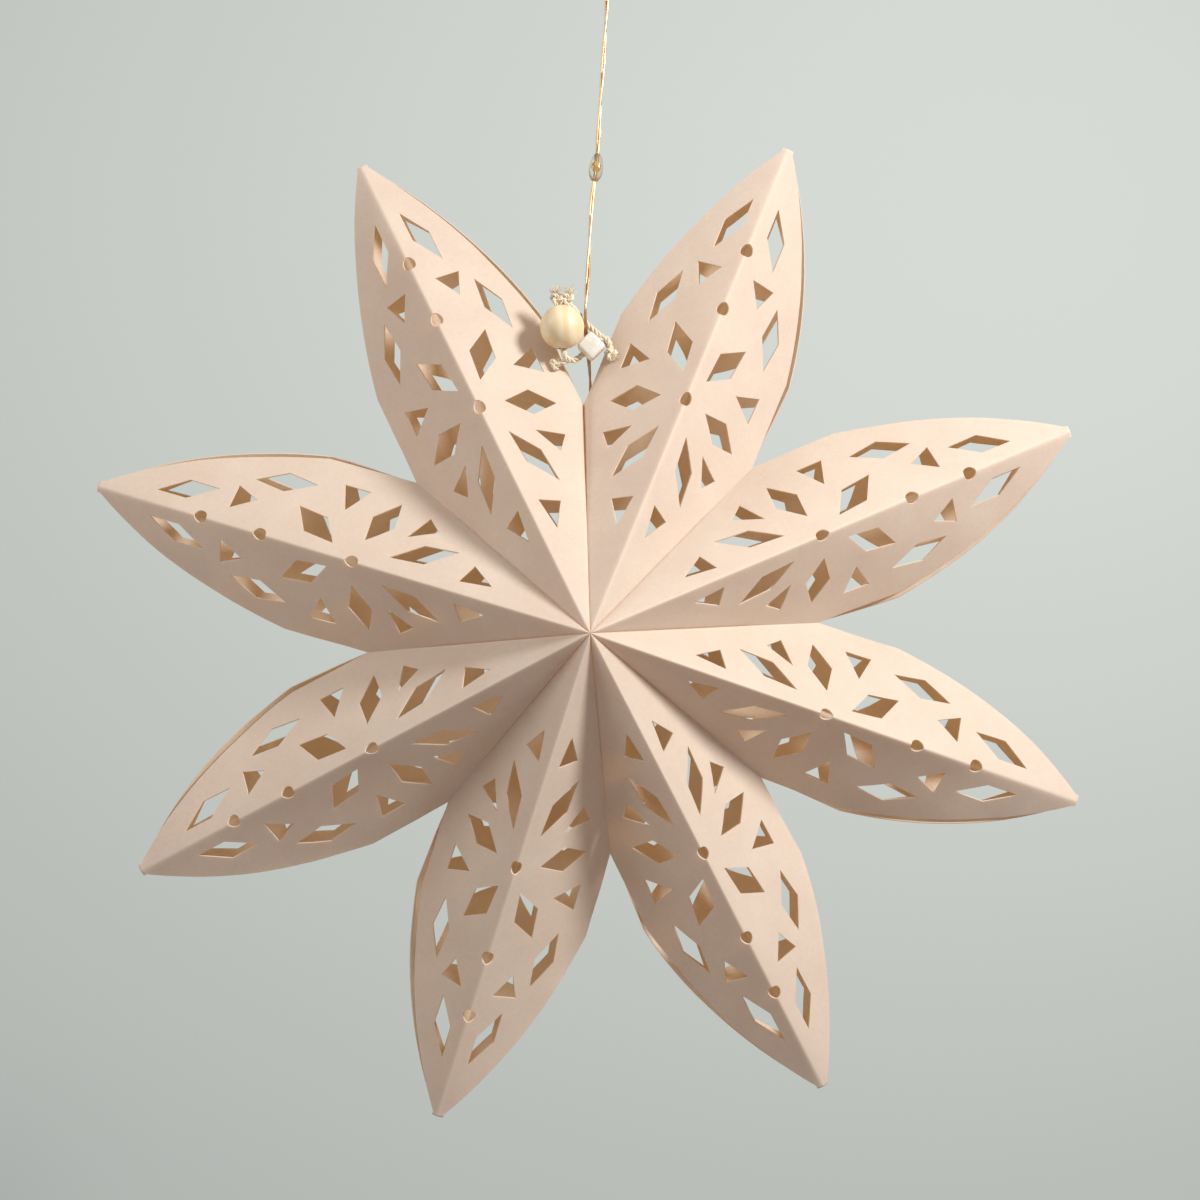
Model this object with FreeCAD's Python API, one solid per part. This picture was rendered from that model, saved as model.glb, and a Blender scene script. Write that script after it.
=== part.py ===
"""Folded paper star lantern: eight pierced card arms glued side by side, tied shut at the top with a
bead and a cord loop, and hung on a fine light wire.

Lengths are in millimetres. The star stands in the XZ plane with +Z up, its front faces -Y, and the
origin is the star's centre, halfway between its front and back peaks.
"""
import FreeCAD
import Part
import math
import os

# Star, from its centre to the tips and from the middle plane to a peak
tip_radius = 110.0
peak_height = 36.0
tip_half_gap = 0.8
arm_angles = [116.6, 67.7, 22.4, -19.7, -63.3, -107.6, -151.7, -196.0]

# Card and its folds
card = 0.3
fold_radius = 0.45
valley_angle = 26.35
tip_tilt = 24.0
straight_reach = 34.0
tilt_power = 1.25
sheet_stations = [-5.0, straight_reach, tip_radius - 52.0, tip_radius - 26.0, tip_radius + 9.0]
sheet_reaches = [30.0, 30.0, 29.0, 22.0, 5.0]
edge_clearance = 0.15
glue_line = 0.02

# Outline of half an arm, laid flat: distance along the ridge and across from it
edge_inner = (44.0, 25.2)
edge_shoulder = (71.3, 23.2)
edge_bulge = 2.0
tip_half_width = 1.3

# Glue flaps along the valleys
flap_start = 14.0
flap_end = 57.0
flap_width = 5.5
flap_taper = 5.0

# Opening between the first two arms, where the star was closed last
slit_start = 22.0
slit_half_width = 0.6
slit_reach = 52.0

# Cut-outs: holes punched on the ridge, and shapes cut in each half of an arm as
# (middle, angle, length, width), with angles in degrees from the ridge
ridge_hole_radius = 1.55
ridge_holes = [53.0, 75.0, 89.7]
diamonds = {
    "petal_back": ((39.8, 7.0), -26.0, 14.4, 5.2),
    "petal_side": ((52.1, 12.1), 102.0, 12.0, 6.0),
    "petal_front": ((64.9, 6.4), 29.0, 13.4, 5.8),
    "outer_lozenge": ((76.6, 14.2), -15.0, 13.8, 5.0),
    "tip_lozenge": ((95.9, 5.4), -19.0, 14.0, 4.6),
}
darts = {
    "inner_dart": ((27.2, 5.0), 193.0, 6.6, 5.1),
    "left_dart": ((43.0, 13.5), -51.0, 6.4, 4.6),
    "right_dart": ((61.5, 16.3), -92.0, 6.3, 6.2),
    "outer_dart": ((83.5, 7.2), 172.0, 5.4, 5.9),
}

# Closing beads and cords
round_bead_radius = 4.6
round_bead_centre = (-6.2, -9.4, 62.9)
square_bead_side = 4.4
square_bead_centre = (-0.2, -6.8, 59.3)
square_bead_turn = 45.0
square_bead_round = 0.7
cord_radius = 0.65
bore_clearance = 0.2
tie_hole_radius = 0.95
tie_hole_places = {0: (59.5, 21.2), 1: (61.5, 21.2)}
end_knot_radius = 1.25
edge_knot_radius = 1.2
lower_bend = (-4.9, -7.8, 56.4)
lower_return = (3.9, -7.1, 60.2)
upper_route = [(-4.0, -7.5, 67.5), (-2.0, -4.2, 65.2), (1.2, -4.7, 62.4), (3.6, -5.3, 60.3)]
nub_steps = 5
cord_sides = 6
bead_sides = 16
knot_sides = 8
hole_sides = 10
edge_chords = 5

# Hanging wire with one light drop on it, and the eye at its upper end
wire_radius = 0.48
drop_centre = (0.9, -0.6, 98.5)
wire_route = [(0.6, 1.0, 37.0), (-0.2, 0.2, 45.0), (-0.4, -1.2, 52.5), (-0.7, -2.6, 57.0), (-1.2, -3.6, 61.0),
              (-1.5, -6.7, 65.2), (-1.2, -5.8, 70.5), (-0.6, -3.0, 80.0), (-0.3, -1.4, 90.7),
              drop_centre, (1.2, -0.3, 104.0), (1.6, -0.1, 111.1), (2.4, 0.0, 122.0),
              (3.2, 0.0, 134.6), (3.6, 0.0, 147.0)]
drop_length = 6.2
drop_radius = 1.5
eye_radius = 5.0

V = FreeCAD.Vector
ridge_slope = math.atan((peak_height - tip_half_gap) / tip_radius)
ridge_length = math.hypot(peak_height - tip_half_gap, tip_radius)
arm_count = len(arm_angles)
far = 2.0 * tip_radius


def plan(angle, radius, y=0.0):
    """A point at an angle and radius seen from the front, at the depth y."""
    a = math.radians(angle)
    return V(radius * math.cos(a), y, radius * math.sin(a))


def half_gap(arm, side):
    """Half the angle to the next arm: side +1 is anticlockwise seen from the front, side -1 clockwise."""
    other = (arm - side) % arm_count
    return abs((arm_angles[arm] - arm_angles[other] + 180.0) % 360.0 - 180.0) / 2.0


def opens(arm, side):
    """Whether this side of the arm looks at the opening instead of being glued to its neighbour."""
    return (arm, side) in ((0, -1), (1, 1))


def hub_tilt(gap):
    """How steeply half an arm falls away from its ridge, so that its valley lies midway to the next arm."""
    t = math.tan(math.radians(gap))
    lean = math.atan(t * math.sin(ridge_slope))
    size = math.hypot(1.0, t * math.sin(ridge_slope))
    valley = math.tan(math.radians(valley_angle))
    return lean + math.acos(t * math.cos(ridge_slope) / valley / size)


def tilt_at(along, hub):
    """The tilt eases towards the tip, where the front and back sheets come together."""
    share = max(0.0, (along - straight_reach) / (ridge_length - straight_reach))
    return hub - (hub - math.radians(tip_tilt)) * share ** tilt_power


def arm_axes(arm):
    """Along the front ridge, anticlockwise across it, and in towards the star's middle."""
    radial = plan(arm_angles[arm], 1.0)
    across = plan(arm_angles[arm] + 90.0, 1.0)
    back = V(0, 1, 0)
    ridge = radial * math.cos(ridge_slope) + back * math.sin(ridge_slope)
    inward = back * math.cos(ridge_slope) - radial * math.sin(ridge_slope)
    return ridge, across, inward


def arm_point(arm, along, across, depth=0.0):
    """A point given along the front ridge, across it and inwards from it."""
    ridge, side, inward = arm_axes(arm)
    return V(0, -peak_height, 0) + ridge * along + side * across + inward * depth


def sheet_point(arm, side, along, out, depth=0.0):
    """The point of the card's front face over a point of the flat pattern, or that far behind it."""
    hub = hub_tilt(half_gap(arm, side))
    tilt = tilt_at(along, hub)
    reach = out / math.cos(hub - tilt)
    across = reach * math.cos(tilt) - depth * math.sin(tilt)
    return arm_point(arm, along, side * across, reach * math.sin(tilt) + depth * math.cos(tilt))


def section(arm, along, reach):
    """Corners of the folded card cut across its ridge: two legs of one thickness with an eased fold."""
    tilts = [tilt_at(along, hub_tilt(half_gap(arm, side))) for side in (1, -1)]
    legs = [V(math.cos(tilts[0]), math.sin(tilts[0]), 0), V(-math.cos(tilts[1]), math.sin(tilts[1]), 0)]
    inner = [V(-math.sin(tilts[0]), math.cos(tilts[0]), 0), V(math.sin(tilts[1]), math.cos(tilts[1]), 0)]
    turn = (tilts[0] + tilts[1]) / 2.0
    lean = (tilts[0] - tilts[1]) / 2.0
    middle = V(-math.sin(lean), math.cos(lean), 0)
    trim = fold_radius * math.tan(turn)
    crown = middle * (fold_radius / math.cos(turn) - fold_radius)
    fold = middle * (card / math.cos(turn))
    flat = [legs[0] * reach, legs[0] * trim, crown, legs[1] * trim, legs[1] * reach,
            legs[1] * reach + inner[1] * card, fold, legs[0] * reach + inner[0] * card]
    return [arm_point(arm, along, q.x, q.y) for q in flat]


def face_of(*corners):
    return Part.Face(Part.makePolygon(list(corners) + [corners[0]]))


def folded_sheet(arm):
    """The front of an arm before it is cut out: a folded strip that runs from the peak past the tip."""
    rows = [section(arm, s, r) for s, r in zip(sheet_stations, sheet_reaches)]
    faces = [face_of(*reversed(rows[0])), face_of(*rows[-1])]
    for near, beyond in zip(rows, rows[1:]):
        for i in range(len(near)):
            k = (i + 1) % len(near)
            # Each pair of triangles is split the same way on both faces of the card
            if i in (0, 1, 5, 7):
                faces += [face_of(near[i], near[k], beyond[k]), face_of(near[i], beyond[k], beyond[i])]
            else:
                faces += [face_of(near[i], near[k], beyond[i]), face_of(near[k], beyond[k], beyond[i])]
    shell = Part.makeShell(faces)
    shell.sewShape()
    return Part.makeSolid(shell)


def drawing_plane(arm, side):
    """The flat pattern's placement: x along the ridge, z out to the front, y across half an arm and for the
    other half the opposite way, so that it only turns."""
    ridge, across, inward = arm_axes(arm)
    hub = hub_tilt(half_gap(arm, side))
    out = across * math.cos(hub) + inward * (side * math.sin(hub))
    up = across * (side * math.sin(hub)) - inward * math.cos(hub)
    turn = FreeCAD.Matrix(ridge.x, out.x, up.x, 0, ridge.y, out.y, up.y, -peak_height, ridge.z, out.z, up.z, 0)
    return FreeCAD.Placement(turn)


def diamond(centre, angle, length, width):
    """A rhombus from its middle, the angle of its long diagonal, and both diagonals."""
    a = math.radians(angle)
    c, along, aside = V(*centre, 0), V(math.cos(a), math.sin(a), 0), V(-math.sin(a), math.cos(a), 0)
    return face_of(c + along * length / 2, c + aside * width / 2, c - along * length / 2, c - aside * width / 2)


def dart(centre, angle, height, width):
    """A triangle with two like sides: its middle, the way it points, its height and its base."""
    a = math.radians(angle)
    c, ahead, aside = V(*centre, 0), V(math.cos(a), math.sin(a), 0), V(-math.sin(a), math.cos(a), 0)
    base = c - ahead * height / 3
    return face_of(c + ahead * height * 2 / 3, base + aside * width / 2, base - aside * width / 2)


def punched(centre, radius, share=1.0, past=0.0):
    """A punched hole as a polygon. On the ridge only its near half is drawn, and carried a little past the fold."""
    c = V(*centre, 0)
    steps = int(hole_sides * share)
    turns = [2.0 * math.pi * share * i / steps for i in range(steps + 1 if share < 1.0 else steps)]
    corners = [c + V(radius * math.cos(t), radius * math.sin(t), 0) for t in turns]
    if past:
        corners += [corners[-1] - V(0, past, 0), corners[0] - V(0, past, 0)]
    return face_of(*corners)


def waste():
    """What lies outside half an arm: from the notch past the shoulder and down a bowed edge to the tip."""
    inner, shoulder = V(*edge_inner, 0), V(*edge_shoulder, 0)
    tip = V(ridge_length, tip_half_width, 0)
    chord = tip - shoulder
    crown = (shoulder + tip) * 0.5 + V(-chord.y, chord.x, 0).normalize() * edge_bulge
    bow = Part.Arc(shoulder, crown, tip).toShape().discretize(edge_chords + 1)
    corners = bow + [V(ridge_length + far, tip_half_width, 0), V(ridge_length + far, far, 0)]
    return face_of(*corners, V(edge_inner[0], far, 0), inner)


def cutters(arm, side):
    """Everything that is cut out of half an arm, as prisms square to the flat pattern."""
    faces = [waste()]
    faces += [diamond(*shape) for shape in diamonds.values()]
    faces += [dart(*shape) for shape in darts.values()]
    faces += [punched((along, 0), ridge_hole_radius, 0.5, card) for along in ridge_holes]
    if opens(arm, side):
        faces.append(punched(tie_hole_places[arm], tie_hole_radius))
    below, above = 6.0 * card, 40.0 * card
    solids = []
    for face in faces:
        face.translate(V(0, 0, -below))
        prism = face.extrude(V(0, 0, below + above))
        if side < 0:
            prism = prism.mirror(V(0, 0, 0), V(0, 1, 0))
        prism.Placement = drawing_plane(arm, side)
        solids.append(prism)
    return solids


def valley_plane_point(arm, side, radius):
    """A point of the plane in which this side meets the next arm, or comes up to the opening."""
    middle = arm_angles[arm] + side * half_gap(arm, side)
    opening = slit_half_width * max(0.0, radius - slit_start) / (slit_reach - slit_start)
    gap = glue_line / 2.0 + (opening if opens(arm, side) else 0.0)
    return plan(middle, radius) - plan(middle + side * 90.0, gap)


def wedge(arm):
    """The slice of space that the front of one arm may fill, from valley to valley and out to its tip."""
    reach = flap_end * math.cos(ridge_slope)
    tip = plan(arm_angles[arm], tip_radius)
    aside = plan(arm_angles[arm] + 90.0, edge_inner[1] / 2.0)
    points = [V(0, 0, 0), valley_plane_point(arm, 1, slit_start), valley_plane_point(arm, 1, reach)]
    points += [tip + aside, tip - aside]
    points += [valley_plane_point(arm, -1, reach), valley_plane_point(arm, -1, slit_start)]
    return face_of(*[p + V(0, -far, 0) for p in points]).extrude(V(0, far - edge_clearance, 0))


def flap(arm, side):
    """A glue flap: a strip of the same card, folded back along the valley and tapered at both ends."""
    hub = hub_tilt(half_gap(arm, side))
    valley = math.radians(valley_angle)
    fall = math.asin(math.cos(valley) * math.sin(ridge_slope)
                     + math.sin(valley) * math.sin(hub) * math.cos(ridge_slope))

    def corner(along, inward):
        point = valley_plane_point(arm, side, along * math.cos(fall) - inward * math.sin(fall))
        return V(point.x, -peak_height + along * math.sin(fall) + inward * math.cos(fall), point.z)

    thick = plan(arm_angles[arm] + side * (half_gap(arm, side) - 90.0), card)
    start = slit_start / math.cos(fall) + card if opens(arm, side) else flap_start
    top = 0.7 * card
    plate = face_of(corner(start, top), corner(flap_end, top), corner(flap_end - flap_taper, flap_width),
                    corner(start + flap_taper, flap_width))
    return plate.extrude(thick)


def tip_nub(arm):
    """The narrow waist of the sheet at the tip, bent round from the front half to the back half."""
    side = plan(arm_angles[arm] + 90.0, tip_half_width)
    base = plan(arm_angles[arm], tip_radius)
    fall = tip_half_width * math.tan(math.radians(tip_tilt))
    outer, hem = V(0, -tip_half_gap, 0), V(0, fall - tip_half_gap, 0)
    inner, lip = V(0, card - tip_half_gap, 0), V(0, -edge_clearance / 2.0, 0)
    corners = [base + side + hem, base + outer, base - side + hem, base - side + lip, base + inner,
               base + side + lip]
    sections = []
    for i in range(nub_steps + 1):
        turn = FreeCAD.Rotation(side, 180.0 * i / nub_steps)
        turned = [base + turn.multVec(corner - base) for corner in corners]
        sections.append(Part.makePolygon(turned + turned[:1]))
    return Part.makeLoft(sections, True, True)


def arm_sheet(arm):
    """One sheet of card: front and back halves alike, joined round the tip, with four glue flaps."""
    tools = cutters(arm, 1) + cutters(arm, -1)
    front = folded_sheet(arm).common(wedge(arm)).cut(tools)
    front = front.fuse([flap(arm, 1), flap(arm, -1)])
    back = front.mirror(V(0, 0, 0), V(0, 1, 0))
    nub = tip_nub(arm)
    if nub.Volume < 0:
        nub.reverse()
    return front.fuse([back, nub])


def route_edges(points):
    """Straight runs joined by tangent arcs, each as large as its two runs allow."""
    p = [V(*q) for q in points]
    edges = []
    last = p[0]
    for before, corner, after in zip(p, p[1:], p[2:]):
        a, b = (before - corner), (after - corner)
        short = 0.45 * min(a.Length, b.Length)
        a.normalize()
        b.normalize()
        start, end = corner + a * short, corner + b * short
        half = a.getAngle(b) / 2.0
        radius = short * math.tan(half)
        centre = corner + (a + b).normalize() * (radius / math.sin(half))
        middle = centre + (corner - centre).normalize() * radius
        edges.append(Part.LineSegment(last, start).toShape())
        edges.append(Part.Arc(start, middle, end).toShape())
        last = end
    edges.append(Part.LineSegment(last, p[-1]).toShape())
    return edges


def cord_section(radius, centre, direction):
    """The outline of a cord across its direction, with a few flats so that it stays light."""
    turn = FreeCAD.Rotation(V(0, 0, 1), direction)
    steps = [2.0 * math.pi * (i + 0.5) / cord_sides for i in range(cord_sides)]
    corners = [centre + turn.multVec(V(radius * math.cos(t), radius * math.sin(t), 0)) for t in steps]
    return Part.makePolygon(corners + corners[:1])


def tube(points, radius):
    """A cord along a route."""
    start = V(*points[0])
    path = Part.Wire(route_edges(points))
    return path.makePipeShell([cord_section(radius, start, V(*points[1]) - start)], True, False)


def cord_ring(radius, cord, centre, axis):
    """A ring of cord round a centre."""
    aside = axis.cross(V(0, 0, 1)).normalize()
    start = centre + aside * radius
    return Part.Face(cord_section(cord, start, axis.cross(aside))).revolve(centre, axis, 360.0)


def ball(radius, half_length, sides):
    """A ball, or a longer drop, about Z in flats: half as many bands from pole to pole as sides round it."""
    bands = sides // 2
    rings = []
    for i in range(bands + 1):
        t = math.pi * (0.25 + i * (bands - 0.5) / bands) / bands
        size, height = radius * math.sin(t), half_length * math.cos(t)
        turns = [2.0 * math.pi * k / sides for k in range(sides)]
        corners = [V(size * math.cos(u), size * math.sin(u), height) for u in turns]
        rings.append(Part.makePolygon(corners + corners[:1]))
    return Part.makeLoft(rings, True, True)


shapes = {}
for arm in range(arm_count):
    shapes["arm_%d" % (arm + 1)] = arm_sheet(arm)

# Round bead on the two ends of the cord loop, bored from below to above
bead_middle = V(*round_bead_centre)
bead_top = bead_middle + V(0, 0, round_bead_radius)
bead_foot = bead_middle - V(0, 0, round_bead_radius)
bore_radius = cord_radius + bore_clearance
bore_outline = Part.Face(cord_section(bore_radius, V(0, 0, -2 * round_bead_radius), V(0, 0, 1)))
bore = bore_outline.extrude(V(0, 0, 4 * round_bead_radius))
bead = ball(round_bead_radius, round_bead_radius, bead_sides).cut(bore)
bead.translate(bead_middle)
shapes["round_bead"] = bead

# Square bead with rounded edges, threaded slantwise on the lower strand
half = square_bead_side / 2.0
cube = Part.makeBox(square_bead_side, square_bead_side, square_bead_side, V(-half, -half, -half))
cube = cube.makeChamfer(square_bead_round, cube.Edges)
cube = cube.cut(Part.makeCylinder(bore_radius, 2 * square_bead_side, V(-square_bead_side, 0, 0), V(1, 0, 0)))
cube.Placement = FreeCAD.Placement(V(*square_bead_centre), FreeCAD.Rotation(V(0, 1, 0), -square_bead_turn))
shapes["square_bead"] = cube

# Cord loop: from the knot over the round bead, down through it, slantwise through the square bead and
# into the second arm's edge, and back from there behind the square bead to the same knot, with a short
# tie to the first arm's edge
thread = V(math.cos(math.radians(square_bead_turn)), 0, math.sin(math.radians(square_bead_turn)))
square_middle = V(*square_bead_centre)
edge_knot = sheet_point(1, 1, *tie_hole_places[1]) - V(0.6, edge_knot_radius, 0)
top_knot = bead_top + V(0, 0, end_knot_radius)
lower_strand = [top_knot, bead_foot - V(0, 0, 1.2), lower_bend, square_middle - thread * square_bead_side,
                square_middle + thread * square_bead_side * 0.75, lower_return, edge_knot]
upper_strand = [top_knot] + upper_route + [edge_knot]
tie_knot = sheet_point(0, -1, *tie_hole_places[0]) + V(0.5, -edge_knot_radius, 0.3)
tie_strand = Part.Wire(Part.makeLine(V(*lower_bend), tie_knot))
tie = tie_strand.makePipeShell([cord_section(cord_radius, V(*lower_bend), tie_knot - V(*lower_bend))], True, False)
knots = []
for radius, place in ((end_knot_radius, top_knot - V(1.0, 0, 0)), (end_knot_radius, top_knot + V(1.0, 0, 0)),
                      (edge_knot_radius, edge_knot), (edge_knot_radius, tie_knot)):
    knot = ball(radius, radius, knot_sides)
    knot.translate(place)
    knots.append(knot)
shapes["cord_loop"] = tube(lower_strand, cord_radius).fuse([tube(upper_strand, cord_radius), tie] + knots)

# Wire, the eye that carries its upper end, and the light drop cast round it
wire = tube(wire_route, wire_radius)
eye_middle = V(*wire_route[-1]) + V(0, 0, eye_radius + wire_radius)
shapes["hanging_wire"] = wire
shapes["wire_eye"] = cord_ring(eye_radius, wire_radius, eye_middle, V(0, 1, 0))
at_drop = wire_route.index(drop_centre)
drop_axis = (V(*wire_route[at_drop + 1]) - V(*wire_route[at_drop - 1])).normalize()
drop = ball(drop_radius, drop_length / 2.0, knot_sides)
drop.Placement = FreeCAD.Placement(V(*drop_centre), FreeCAD.Rotation(V(0, 0, 1), drop_axis))
shapes["light_drop"] = drop.cut(wire)

os.makedirs("parts", exist_ok=True)
for name, shape in shapes.items():
    shape.exportStep("parts/%s.step" % name)
    print(name, "solids", len(shape.Solids), "valid", shape.isValid(), "volume", round(shape.Volume, 1))
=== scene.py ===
# %% [markdown]
# # Folded paper star lantern
# Eight pierced card arms stand round one centre. Each arm is cut out of a flat sheet, pierced, folded and glued
# to its neighbours, and the star is tied shut at the top with a cord, a wood bead and a milky square bead.
# This script lays every sheet out flat, cuts it, and bends it into the place that its solid has in the frame.

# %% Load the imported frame
import math
import bmesh
import bpy
from mathutils import Matrix, Vector, noise


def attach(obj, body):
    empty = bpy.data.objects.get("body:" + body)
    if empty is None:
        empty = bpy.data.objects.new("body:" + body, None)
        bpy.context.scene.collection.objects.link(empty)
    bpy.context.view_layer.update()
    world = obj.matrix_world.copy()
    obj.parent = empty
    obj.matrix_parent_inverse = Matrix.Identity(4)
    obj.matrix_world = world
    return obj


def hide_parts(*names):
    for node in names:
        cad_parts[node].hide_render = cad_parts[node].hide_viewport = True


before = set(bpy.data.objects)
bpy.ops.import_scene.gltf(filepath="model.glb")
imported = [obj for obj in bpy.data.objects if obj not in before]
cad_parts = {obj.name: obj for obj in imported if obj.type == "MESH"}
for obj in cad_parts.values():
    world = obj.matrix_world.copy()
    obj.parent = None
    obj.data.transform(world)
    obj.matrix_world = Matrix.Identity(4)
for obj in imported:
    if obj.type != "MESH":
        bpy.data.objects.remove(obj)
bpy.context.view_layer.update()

# %% [markdown]
# All lengths below are in millimetres, as a paper worker would give them, and `MM` turns them into metres. The
# star stands in the XZ plane with its front towards -Y. The sizes match those of the solids.

# %% Sizes
MM = 0.001

TIP_RADIUS = 110.0
PEAK_HEIGHT = 36.0
TIP_HALF_GAP = 0.8
ARM_ANGLES = [116.6, 67.7, 22.4, -19.7, -63.3, -107.6, -151.7, -196.0]
CARD = 0.3
VALLEY_ANGLE = math.radians(26.35)
TIP_TILT = math.radians(24.0)
STRAIGHT_REACH = 34.0
TILT_POWER = 1.25
FOLD_SOFTNESS = 0.22
VALLEY_SOFTNESS = 0.5
SLIT_LIP = 2.4
LIP_FADE = 14.0
CURL_DEPTH = 0.8
BACK_DRIFT = 1.1
DRIFT_START = 48.0
SLOW_SWELL = 0.55
QUICK_SWELL = 0.12

SHOULDER = (71.3, 23.2)
INNER_EDGE = (44.0, 25.2)
EDGE_BULGE = 2.0
TIP_HALF_WIDTH = 1.3

SLOPE = math.atan((PEAK_HEIGHT - TIP_HALF_GAP) / TIP_RADIUS)
RIDGE = math.hypot(PEAK_HEIGHT - TIP_HALF_GAP, TIP_RADIUS)
ARMS = len(ARM_ANGLES)
print("ridge length", round(RIDGE, 1), "mm, ridge slope", round(math.degrees(SLOPE), 1), "degrees")


# %% [markdown]
# A colour is written as it would be picked on a screen, and turned into the linear value that the renderer uses.
# `node` adds one shader node, sets its values by name and links what is handed to it.

# %% Small helpers
def colour(text, alpha=1.0):
    parts = [int(text[i:i + 2], 16) / 255.0 for i in (1, 3, 5)]
    linear = [p / 12.92 if p <= 0.04045 else ((p + 0.055) / 1.055) ** 2.4 for p in parts]
    return (*linear, alpha)


def new_material(name):
    material = bpy.data.materials.new(name)
    material.use_nodes = True
    tree = material.node_tree
    tree.nodes.clear()
    return material, tree


def node(tree, kind, values=None, links=None, **settings):
    made = tree.nodes.new(kind)
    for key, value in settings.items():
        setattr(made, key, value)
    for key, value in (values or {}).items():
        made.inputs[key].default_value = value
    for key, source in (links or {}).items():
        tree.links.new(source, made.inputs[key])
    return made


def ramp(tree, source, *stops):
    made = node(tree, "ShaderNodeValToRGB", links={0: source})
    elements = made.color_ramp.elements
    while len(elements) < len(stops):
        elements.new(0.5)
    for element, (place, tone) in zip(elements, stops):
        element.position = place
        element.color = tone
    return made


def output(tree, shader):
    node(tree, "ShaderNodeOutputMaterial", links={"Surface": shader})


def per_mm(size):
    """The scale of a pattern whose grain is that many millimetres, on coordinates in metres."""
    return 1000.0 / size


print("helpers ready")


# %% [markdown]
# Card: warm white, matt, with felted fibres, faint cloudiness and an amber glow where light comes through.
# Folded and pressed places carry the attribute `crease`, where the card is paler: partly broken fibres, partly a
# painted highlight along the fold.

# %% Card
def card_material(name, tone, depth_tone):
    material, tree = new_material(name)
    place = node(tree, "ShaderNodeTexCoord").outputs["Object"]
    cloud = node(tree, "ShaderNodeTexNoise", {"Scale": per_mm(14.0), "Detail": 4.0, "Roughness": 0.6},
                 {"Vector": place})
    fibre = node(tree, "ShaderNodeTexNoise", {"Scale": per_mm(0.9), "Detail": 6.0, "Roughness": 0.7,
                                              "Distortion": 1.4}, {"Vector": place})
    fleck = node(tree, "ShaderNodeTexVoronoi", {"Scale": per_mm(2.3), "Randomness": 1.0}, {"Vector": place})
    base = ramp(tree, cloud.outputs[0], (0.3, colour(depth_tone)), (0.7, colour(tone)))
    grain = ramp(tree, fibre.outputs[0], (0.25, (0.90, 0.89, 0.87, 1)), (0.62, (1, 1, 1, 1)))
    tinted = node(tree, "ShaderNodeMix", {"Factor": 0.75}, {6: base.outputs[0], 7: grain.outputs[0]},
                  data_type="RGBA", blend_type="MULTIPLY")
    speck = ramp(tree, fleck.outputs["Distance"], (0.03, (0.93, 0.9, 0.85, 1)), (0.09, (1, 1, 1, 1)))
    specked = node(tree, "ShaderNodeMix", {"Factor": 0.5}, {6: tinted.outputs[2], 7: speck.outputs[0]},
                   data_type="RGBA", blend_type="MULTIPLY")
    crease = node(tree, "ShaderNodeAttribute", attribute_name="crease")
    # Paler colour along the creases: partly broken fibres, partly a painted highlight along the fold.
    crease_wear_and_highlight = node(tree, "ShaderNodeMix", {7: colour("#fff6ea")}, {0: crease.outputs["Fac"], 6: specked.outputs[2]},
                data_type="RGBA", blend_type="MIX")
    bump = node(tree, "ShaderNodeBump", {"Strength": 0.35, "Distance": 0.00012}, {"Height": fibre.outputs[0]})
    front = node(tree, "ShaderNodeBsdfPrincipled", {"Roughness": 0.78, "Specular IOR Level": 0.28,
                                                    "Sheen Weight": 0.08},
                 {"Base Color": crease_wear_and_highlight.outputs[2], "Normal": bump.outputs[0]})
    amber = node(tree, "ShaderNodeMix", {"Factor": 1.0, 7: colour("#fce4b6")}, {6: crease_wear_and_highlight.outputs[2]},
                 data_type="RGBA", blend_type="MULTIPLY")
    through = node(tree, "ShaderNodeBsdfTranslucent", {}, {"Color": amber.outputs[2]})
    both = node(tree, "ShaderNodeMixShader", {0: 0.42}, {1: front.outputs[0], 2: through.outputs[0]})
    output(tree, both.outputs[0])
    return material


card_face = card_material("warm_white_card", "#fbf2e5", "#f7eadb")
# The cut rims take a paler copy of the card: a painted highlight along the edges.
card_rim_highlight = card_material("card_rim_painted_highlight", "#fff8ee", "#fdf2e5")
print("card materials", card_face.name, card_rim_highlight.name)

# %% [markdown]
# ## The flat sheet
# Half an arm is drawn on paper with the ridge as its long axis: `u` runs along the ridge from the peak and `v`
# across it. Both sides of the ridge carry the same cut-outs.

# %% Cut-outs
RIDGE_HOLES = [53.0, 75.0, 89.7]
RIDGE_HOLE_RADIUS = 1.55
DIAMONDS = [
    ((39.8, 7.0), -26.0, 14.4, 5.2),
    ((52.1, 12.1), 102.0, 12.0, 6.0),
    ((64.9, 6.4), 29.0, 13.4, 5.8),
    ((76.6, 14.2), -15.0, 13.8, 5.0),
    ((95.9, 5.4), -19.0, 14.0, 4.6),
]
DARTS = [
    ((27.2, 5.0), 193.0, 6.6, 5.1),
    ((43.0, 13.5), -51.0, 6.4, 4.6),
    ((61.5, 16.3), -92.0, 6.3, 6.2),
    ((83.5, 7.2), 172.0, 5.4, 5.9),
]
TIE_HOLE_RADIUS = 0.95
TIE_HOLES = {0: (59.5, -21.2), 1: (61.5, 21.2)}


def turned_corner(centre, angle, ahead, aside):
    a = math.radians(angle)
    return (centre[0] + ahead * math.cos(a) - aside * math.sin(a),
            centre[1] + ahead * math.sin(a) + aside * math.cos(a))


def diamond(centre, angle, length, width):
    ways = ((length / 2, 0), (0, width / 2), (-length / 2, 0), (0, -width / 2))
    return [turned_corner(centre, angle, *way) for way in ways]


def dart(centre, angle, height, width):
    ways = ((height * 2 / 3, 0), (-height / 3, width / 2), (-height / 3, -width / 2))
    return [turned_corner(centre, angle, *way) for way in ways]


def circle(centre, radius, steps=24):
    turns = [2 * math.pi * i / steps for i in range(steps)]
    return [(centre[0] + radius * math.cos(t), centre[1] + radius * math.sin(t)) for t in turns]


def mirrored(loop):
    return [(u, -v) for u, v in reversed(loop)]


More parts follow.
